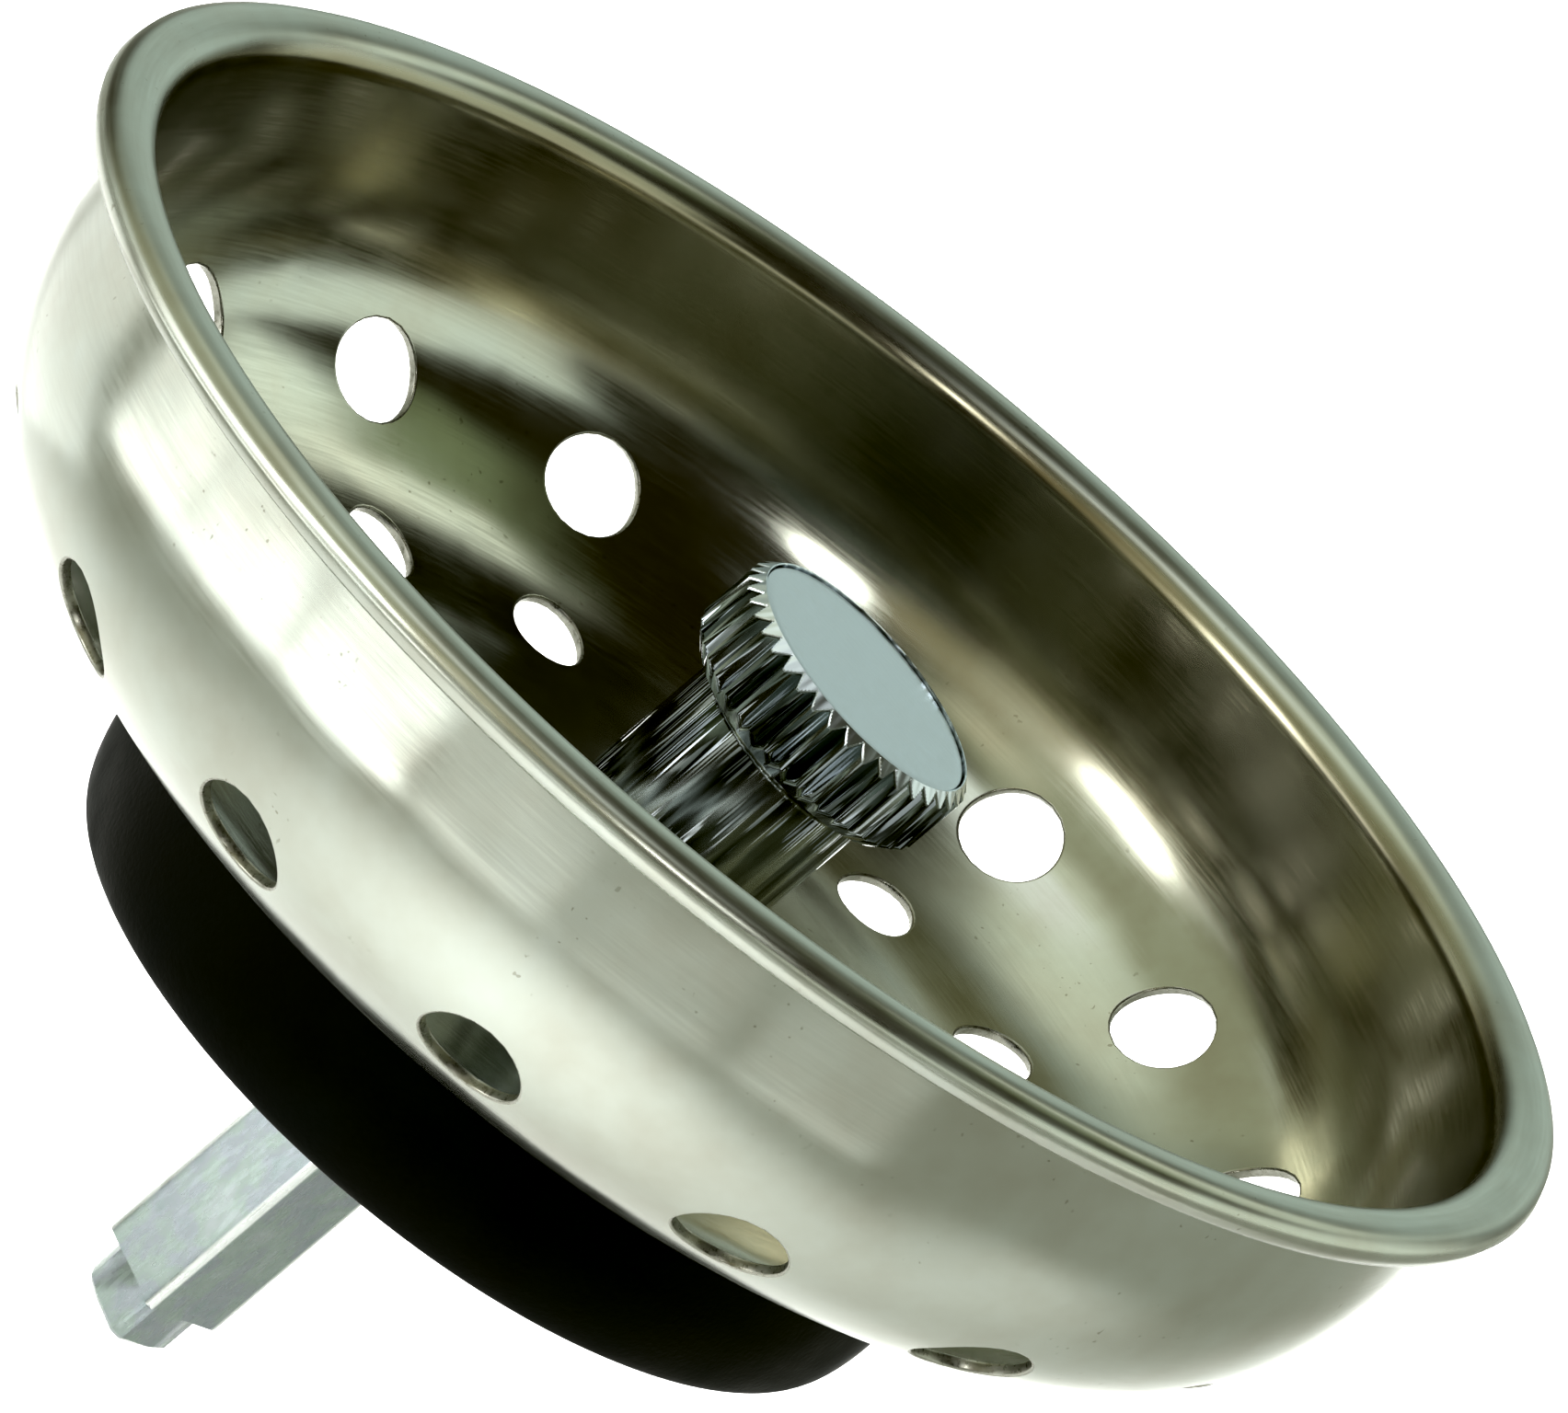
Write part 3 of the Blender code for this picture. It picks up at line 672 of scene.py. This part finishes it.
class Graph(Nodes):
    """A material's nodes. Its settings are plain numbers for the shader."""

    def __init__(self, name, **settings):
        self.material = bpy.data.materials.new(name)
        super().__init__(self.material)
        self.shader = self.tree.nodes["Principled BSDF"]
        for socket, value in settings.items():
            self.shader.inputs[socket.replace("_", " ")].default_value = value

    def link(self, output, socket):
        self.tree.links.new(output, self.shader.inputs[socket])

    def millimetres(self, place):
        return self.add("VectorMath", {0: place}, {1: (MM, MM, MM)}, operation="MULTIPLY")

    def place(self):
        """Coordinates on the piece, in millimetres."""
        return self.millimetres(self.new("TexCoord").outputs["Object"])

    def spindle_place(self):
        """Coordinates in millimetres along and across the leaning spindle."""
        upright = self.add(
            "Mapping",
            {"Vector": self.new("TexCoord").outputs["Object"]},
            {"Location": tuple(PIVOT), "Rotation": (0, LEAN, 0)},
            vector_type="TEXTURE",
        )
        return self.millimetres(upright)

    def split(self, place):
        made = self.new("SeparateXYZ")
        self.tree.links.new(place, made.inputs[0])
        return made.outputs

    def round_place(self, place, reach):
        """Coordinates as (radius, angle times reach, height), so streaks run round the axis."""
        x, y, z = self.split(place)
        angle = self.add("Math", {0: y, 1: x}, operation="ARCTAN2")
        turned = self.add("Math", {0: angle}, {1: reach}, operation="MULTIPLY")
        return self.add("CombineXYZ", {0: self.length(x, y), 1: turned, 2: z})

    def noise(self, place, scale, stretch=(1, 1, 1), detail=3.0, roughness=0.5):
        stretched = self.add("VectorMath", {0: place}, {1: stretch}, operation="MULTIPLY")
        values = {"Scale": scale, "Detail": detail, "Roughness": roughness}
        return self.add("TexNoise", {"Vector": stretched}, values)

    def between(self, value, low, high, start=0.35, end=0.65):
        """Maps a noise's usual range onto low to high."""
        values = {"From Min": start, "From Max": end, "To Min": low, "To Max": high}
        return self.add("MapRange", {"Value": value}, values)

    def inner_side(self, radius, height):
        """One on the inside of the basket's wall and corner, zero on the outside."""
        across = self.add("MapRange", {"Value": radius}, {
            "From Min": MM * (WALL_RADIUS - CORNER_WIDTH), "From Max": MM * WALL_RADIUS,
        })
        down = self.add("MapRange", {"Value": height}, {
            "From Min": -MM * WALL_DEPTH, "From Max": -MM * (WALL_DEPTH + CORNER_HEIGHT),
        })
        return self.between(self.length(across, down), 1, 0, *SHEET_SHARES)

    def tint(self, value, stops):
        """Colours by a value, through stops of (position, colour)."""
        ramp = self.new("ValToRGB")
        self.tree.links.new(value, ramp.inputs[0])
        elements = ramp.color_ramp.elements
        for element, (position, colour) in zip(elements, (stops[0], stops[-1])):
            element.position = position
            element.color = (*colour, 1)
        for position, colour in stops[1:-1]:
            elements.new(position).color = (*colour, 1)
        return ramp.outputs[0]

    def bump(self, height, distance, strength=1.0, before=None):
        links = {"Height": height}
        if before:
            links["Normal"] = before
        return self.add("Bump", links, {"Strength": strength, "Distance": distance})


def basket_steel():
    graph = Graph("satin_steel", Metallic=1.0)
    place = graph.place()
    around = graph.round_place(place, 30)
    grain = graph.noise(around, 1.0, (7, 0.3, 7), detail=3)
    cloud = graph.noise(place, 0.14, detail=4, roughness=0.6)
    steel = [(0.3, (0.45, 0.455, 0.40)), (0.55, (0.505, 0.53, 0.48)), (0.75, (0.535, 0.57, 0.53))]
    radius, _, height = graph.split(around)
    # Painted shade: the inside of the wall and corner, above the bowl, is multiplied darker and
    # browner
    high = graph.between(height, 0, 1, *PAINTED_SHADE_HEIGHTS)
    painted_shade = graph.times(graph.inner_side(radius, height), high)
    shaded_steel = graph.mix(graph.tint(cloud, steel), painted_shade, INNER_WALL_PAINTED_SHADE, "MULTIPLY")
    specks = graph.between(graph.noise(place, 2.6, detail=1), 0, 1, 0.72, 0.76)
    where = graph.between(graph.noise(place, 0.12, detail=2), 0, 1, 0.52, 0.6)
    speckled = graph.mix(shaded_steel, graph.times(specks, where), SPECK, "MULTIPLY")
    graph.link(speckled, "Base Color")
    polish = graph.between(graph.plus(grain, cloud), 0.15, 0.22, 0.8, 1.2)
    start, end = (MM * RIM_HEIGHT - below for below in RIM_DULLING)
    graph.link(graph.plus(polish, graph.between(height, 0, 0.16, start, end)), "Roughness")
    waves = graph.bump(graph.noise(place, 0.16, detail=1), 0.00006)
    graph.link(graph.bump(grain, 0.000001, before=waves), "Normal")
    return graph.material


def cut_steel():
    """The punched walls of the drain holes, duller than the sheet."""
    graph = Graph("punched_steel", Metallic=1.0)
    grain = graph.noise(graph.place(), 4.0, detail=3)
    steel = [(0.3, (0.30, 0.30, 0.26)), (0.7, (0.42, 0.42, 0.38))]
    graph.link(graph.tint(grain, steel), "Base Color")
    graph.link(graph.between(grain, 0.25, 0.35), "Roughness")
    graph.link(graph.bump(grain, 0.000004), "Normal")
    return graph.material


def knob_chrome():
    graph = Graph("knob_plating", Metallic=1.0)
    place = graph.spindle_place()
    around = graph.round_place(place, 5)
    # Painted reflections: the chrome's colour runs from dark to bright in streaks along the axis.
    # The same noise also gives the roughness and real ripples in the bump
    ripples_and_painted_reflections = graph.noise(around, 1.0, (0.3, 1.4, 0.09), detail=1.2)
    chrome_with_painted_reflections = [(0.38, (0.13, 0.15, 0.16)), (0.52, (0.34, 0.38, 0.41)), (0.62, (0.66, 0.71, 0.76))]
    radius, _, height = graph.split(around)
    # Painted highlight: the top chamfer is painted a bright, pale chrome and made rougher
    cone = MM * (HEAD_RADIUS - HEAD_CHAMFER + KNOB_TOP)
    start, end = (cone - inside for inside in CHAMFER_HIGHLIGHT_SPAN)
    painted_edge_highlight = graph.between(graph.plus(radius, height), 0, 1, start, end)
    graph.link(graph.mix(graph.tint(ripples_and_painted_reflections, chrome_with_painted_reflections), painted_edge_highlight, CHAMFER_PAINTED_HIGHLIGHT), "Base Color")
    polish = graph.between(ripples_and_painted_reflections, 0.04, 0.1)
    graph.link(graph.plus(polish, graph.between(painted_edge_highlight, 0, 0.25, 0, 1)), "Roughness")
    graph.link(graph.bump(ripples_and_painted_reflections, 0.0002), "Normal")
    return graph.material


def cap_aluminium():
    graph = Graph("cap_satin", Metallic=1.0)
    place = graph.spindle_place()
    grain = graph.noise(place, 2.2, (0.5, 6, 1), detail=4)
    satin = [(0.3, (0.60, 0.66, 0.72)), (0.7, (0.70, 0.76, 0.81))]
    graph.link(graph.tint(grain, satin), "Base Color")
    graph.link(graph.between(grain, 0.3, 0.42), "Roughness")
    graph.link(graph.bump(grain, 0.000003), "Normal")
    return graph.material


def washer_steel():
    graph = Graph("washer_plating", Metallic=1.0)
    grain = graph.noise(graph.place(), 1.5, detail=5)
    plating = [(0.3, (0.5, 0.5, 0.49)), (0.7, (0.66, 0.66, 0.64))]
    graph.link(graph.tint(grain, plating), "Base Color")
    graph.link(graph.between(grain, 0.25, 0.4), "Roughness")
    graph.link(graph.bump(grain, 0.000005), "Normal")
    return graph.material


def post_zinc():
    graph = Graph("post_plating", Metallic=1.0)
    place = graph.spindle_place()
    blotch = graph.noise(place, 0.55, (1, 1, 0.7), detail=3)
    grain = graph.noise(place, 3.0, (1, 1, 0.25), detail=4)
    zinc = [
        (0.3, (0.30, 0.36, 0.36)),
        (0.45, (0.34, 0.37, 0.40)),
        (0.55, (0.34, 0.40, 0.38)),
        (0.7, (0.39, 0.43, 0.44)),
    ]
    x, y, _ = graph.split(place)
    # Painted highlight: the post's rounded corners are painted a bright, pale zinc
    painted_edge_highlight = graph.between(graph.length(x, y), 0, 1, *CORNER_HIGHLIGHT_SPAN)
    graph.link(graph.mix(graph.tint(blotch, zinc), painted_edge_highlight, CORNER_PAINTED_HIGHLIGHT), "Base Color")
    graph.link(graph.between(grain, 0.22, 0.32), "Roughness")
    graph.link(graph.bump(grain, 0.000008), "Normal")
    return graph.material


def stopper_rubber():
    graph = Graph("black_rubber", Specular_IOR_Level=0.05)
    place = graph.place()
    pebble = graph.noise(place, 3.5, detail=4)
    cloud = graph.noise(place, 0.2, detail=3)
    black = [(0.35, (0.001, 0.0015, 0.003)), (0.65, (0.002, 0.003, 0.005))]
    graph.link(graph.tint(cloud, black), "Base Color")
    graph.link(graph.between(cloud, 0.42, 0.58), "Roughness")
    graph.link(graph.bump(pebble, 0.00002), "Normal")
    return graph.material


def floor_card():
    graph = Graph("pale_card", Roughness=0.9)
    grain = graph.noise(graph.place(), 0.02, detail=5)
    card = [(0.3, (0.86, 0.86, 0.86)), (0.7, (0.89, 0.89, 0.89))]
    graph.link(graph.tint(grain, card), "Base Color")
    return graph.material


# Studio

FLOOR_DROP = 0.1  # the floor's distance below the post, which keeps its soft shadow out of the view
FLOOR_RADIUS = 6
FLOOR_MIDDLE = 0.5  # a ring of the floor's mesh
FLOOR_THICKNESS = 0.002
CAMERA_PLACE = Vector((0, -0.39576, 0.13043))
CAMERA_PAN = math.radians(0.104)
CAMERA_DIP = math.radians(18.79)
CAMERA_ROLL = math.radians(39.944)
FOCAL_SHARE = 5.86077  # the focal length over the width of the picture
SENSOR = 36.0
NEAR_CLIP = 0.01
PART_MIDDLE = Vector((0, 0, -0.01))
WINDOW_DISTANCE = 0.26
WINDOW_SPREAD = 120  # degrees
GLARE_ELEVATION = -19  # degrees
DARK = (0.030, 0.024, 0.012)  # the surround between its bright areas
BACKDROP = (0.62, 0.64, 0.58)
TONE_GAMMA = 0.85
BLACK_LEVEL = (0.006, 0.006, 0.012)


def make_camera():
    camera = bpy.data.objects.new("camera", bpy.data.cameras.new("camera"))
    bpy.context.scene.collection.objects.link(camera)
    camera.data.sensor_width = SENSOR
    camera.data.sensor_fit = "HORIZONTAL"
    camera.data.lens = FOCAL_SHARE * SENSOR
    camera.data.clip_start = NEAR_CLIP
    level = Matrix.Rotation(-CAMERA_PAN, 4, "Z") @ Matrix.Rotation(math.pi / 2 - CAMERA_DIP, 4, "X")
    place = Matrix.Translation(CAMERA_PLACE)
    camera.matrix_world = place @ level @ Matrix.Rotation(CAMERA_ROLL, 4, "Z")
    bpy.context.scene.camera = camera


def make_floor():
    """A wide disc of card, all one surface."""
    top = cad_box[0].z - FLOOR_DROP
    foot = top - FLOOR_THICKNESS
    rings = [(0, foot), (FLOOR_RADIUS, foot), (FLOOR_RADIUS, top), (FLOOR_MIDDLE, top), (0, top)]
    verts, faces = loft(rings, round_angles(FLOOR_ROUND))
    mesh = bpy.data.meshes.new("floor")
    mesh.from_pydata(verts, [], faces)
    mesh.materials.append(floor_card())
    floor = bpy.data.objects.new("floor", mesh)
    bpy.context.scene.collection.objects.link(floor)


def toward(azimuth, elevation):
    """Unit vector from the part. Azimuth 0 is the camera's side, and 90 is +X."""
    azimuth, elevation = math.radians(azimuth), math.radians(elevation)
    level = math.cos(elevation)
    return Vector((math.sin(azimuth) * level, -math.cos(azimuth) * level, math.sin(elevation)))


def panel(name, place, aim, size, radiance, spread):
    """A soft light panel that faces what it aims at, and spreads by so many degrees."""
    light = bpy.data.lights.new(name, "AREA")
    light.shape = "RECTANGLE"
    light.size, light.size_y = size
    light.spread = math.radians(spread)
    light.energy = radiance * math.pi * size[0] * size[1]
    obj = bpy.data.objects.new(name, light)
    bpy.context.scene.collection.objects.link(obj)
    obj.location = place
    obj.rotation_euler = (place - aim).to_track_quat("Z", "Y").to_euler()
    obj.visible_camera = False
    return obj


def window(name, azimuth, elevation, size, radiance):
    """A panel seen from the part in a direction, and so seen in the metal that mirrors it."""
    place = PART_MIDDLE + WINDOW_DISTANCE * toward(azimuth, elevation)
    panel(name, place, PART_MIDDLE, size, radiance, WINDOW_SPREAD)


def floor_lamp(name, place, aim, size, radiance, spread):
    """A panel that lights the floor, and isn't mirrored in the metal."""
    obj = panel(name, Vector(place), Vector(aim), size, radiance, spread)
    obj.visible_glossy = False


class Room(Nodes):
    """The surround: dark, with bright areas that have soft edges."""

    def __init__(self):
        world = bpy.data.worlds.new("studio")
        super().__init__(world)
        bpy.context.scene.world = world
        self.direction = self.new("TexCoord").outputs["Generated"]
        self.colour = self.add("RGB")
        self.colour.default_value = (*DARK, 1)

    def along(self, axis):
        """The share of the direction looked in that lies along an axis."""
        dot = self.new("VectorMath")
        dot.operation = "DOT_PRODUCT"
        dot.inputs[1].default_value = axis
        self.tree.links.new(self.direction, dot.inputs[0])
        return dot.outputs["Value"]

    def reach(self, axis, half, soft):
        """One inside the area's half width along an axis, falling to zero over its soft edge."""
        aside = self.add("Math", {0: self.along(axis)}, operation="ABSOLUTE")
        ends = {
            "From Min": math.sin(math.radians(half + soft)),
            "From Max": math.sin(math.radians(max(0, half - soft))),
        }
        return self.add("MapRange", {"Value": aside}, ends, interpolation_type="SMOOTHSTEP")

    def area(self, azimuth, elevation, half_width, half_height, colour, soft):
        """Adds a bright area by its middle's direction, half sizes and soft edge, in degrees."""
        ahead = toward(azimuth, elevation)
        right = ahead.cross(Vector((0, 0, 1))).normalized()
        across = self.reach(right, half_width, soft)
        upwards = self.reach(right.cross(ahead), half_height, soft)
        front = self.add("Math", {0: self.along(ahead)}, {1: 0}, operation="GREATER_THAN")
        share = self.times(self.times(across, upwards), front)
        self.colour = self.mix(self.colour, share, colour)

    def finish(self):
        """Behind the floor there is a plain pale backdrop, which the metal doesn't mirror."""
        seen = self.new("LightPath").outputs["Is Camera Ray"]
        shown = self.mix(self.colour, seen, BACKDROP)
        self.tree.links.new(shown, self.tree.nodes["Background"].inputs["Color"])


def light_studio():
    """Places the lights where the photograph's metal is bright, and sets the picture's tone."""
    room = Room()
    room.area(175, 15, 24, 13, (0.85, 1.0, 0.92), 8)
    room.area(-160, 38, 22, 16, (0.52, 0.60, 0.54), 8)
    room.area(122, 57, 14, 9, (0.38, 0.44, 0.26), 6)
    room.area(96, 15, 40, 16, (1.2, 1.28, 1.13), 3)
    room.area(137, 40, 11, 9, (1.5, 1.6, 1.4), 4)
    room.area(148, 53, 5, 9, (1.7, 1.75, 1.5), 3)
    room.area(-78, 32, 46, 26, (0.60, 0.61, 0.44), 10)
    room.area(-100, 59, 26, 11, (1.15, 1.2, 1.0), 7)
    room.area(-45, 68, 24, 7, (1.5, 1.55, 1.5), 5)
    room.area(-18, 20, 14, 9, (0.56, 0.50, 0.32), 6)
    room.area(-32, 35, 8, 6, (1.0, 0.95, 0.72), 5)
    room.area(-34, 12, 12, 11, (1.0, 0.97, 0.76), 6)
    room.area(-110, 4, 12, 10, (1.1, 1.16, 1.05), 6)
    room.area(50, 1, 34, 8, (1.4, 1.45, 1.3), 4)
    room.area(-52, 9, 9, 7, (9.0, 9.0, 8.8), 4)
    room.area(6, 27, 5, 4, (12.0, 12.0, 11.6), 2)
    room.finish()
    window("window_left", -72, 1, (0.2, 0.1), 1.0)
    window("table_left", -124, -27, (0.16, 0.12), 0.38)
    glare = ((-86, 1.0), (-63, 1.2), (-39, 1.5), (-14, 0.5), (11, 0.25), (36, 0.25))
    for azimuth, radiance in glare:
        window(f"table_glare_{azimuth % 360}", azimuth, GLARE_ELEVATION, (0.095, 0.03), radiance)
    floor_lamp("front_pool", (0.03, -0.45, 0.3), (-0.005, -0.09, -0.15), (0.09, 0.09), 12, 40)
    floor_lamp("left_pool", (-0.3, 0.25, 0.3), (-0.12, 0.085, -0.15), (0.09, 0.09), 1.7, 26)
    floor_lamp("right_pool", (0.3, -0.1, 0.3), (0.23, -0.03, -0.15), (0.12, 0.12), 1.1, 30)
    floor_lamp("backdrop", (0, 0.6, 0.25), (0, 0.6, -0.15), (0.2, 0.8), 4.5, 60)
    tone = bpy.context.scene.view_settings
    tone.view_transform = "Standard"
    tone.gamma = TONE_GAMMA
    tone.use_curve_mapping = True
    tone.curve_mapping.black_level = BLACK_LEVEL
    tone.curve_mapping.update()


def dress():
    """Draws the visible pieces. The two parts hidden inside the knob keep the solids' shapes."""
    make_basket(basket_steel(), cut_steel())
    make_stopper(stopper_rubber())
    make_knob(knob_chrome())
    make_cap(cap_aluminium())
    washer = washer_steel()
    make_washer("upper_washer", "floor_washer", rock_lift(WASHER_RADIUS), washer)
    make_washer("lower_washer", "stopper_washer", STOPPER_WASHER_TOP - WASHER_THICKNESS, washer)
    make_post(post_zinc())
    for node in ("knob_screw", "lock_washer"):
        frame["nodes"][node].data.materials.clear()
        frame["nodes"][node].data.materials.append(washer)


dress()
make_camera()
make_floor()
light_studio()
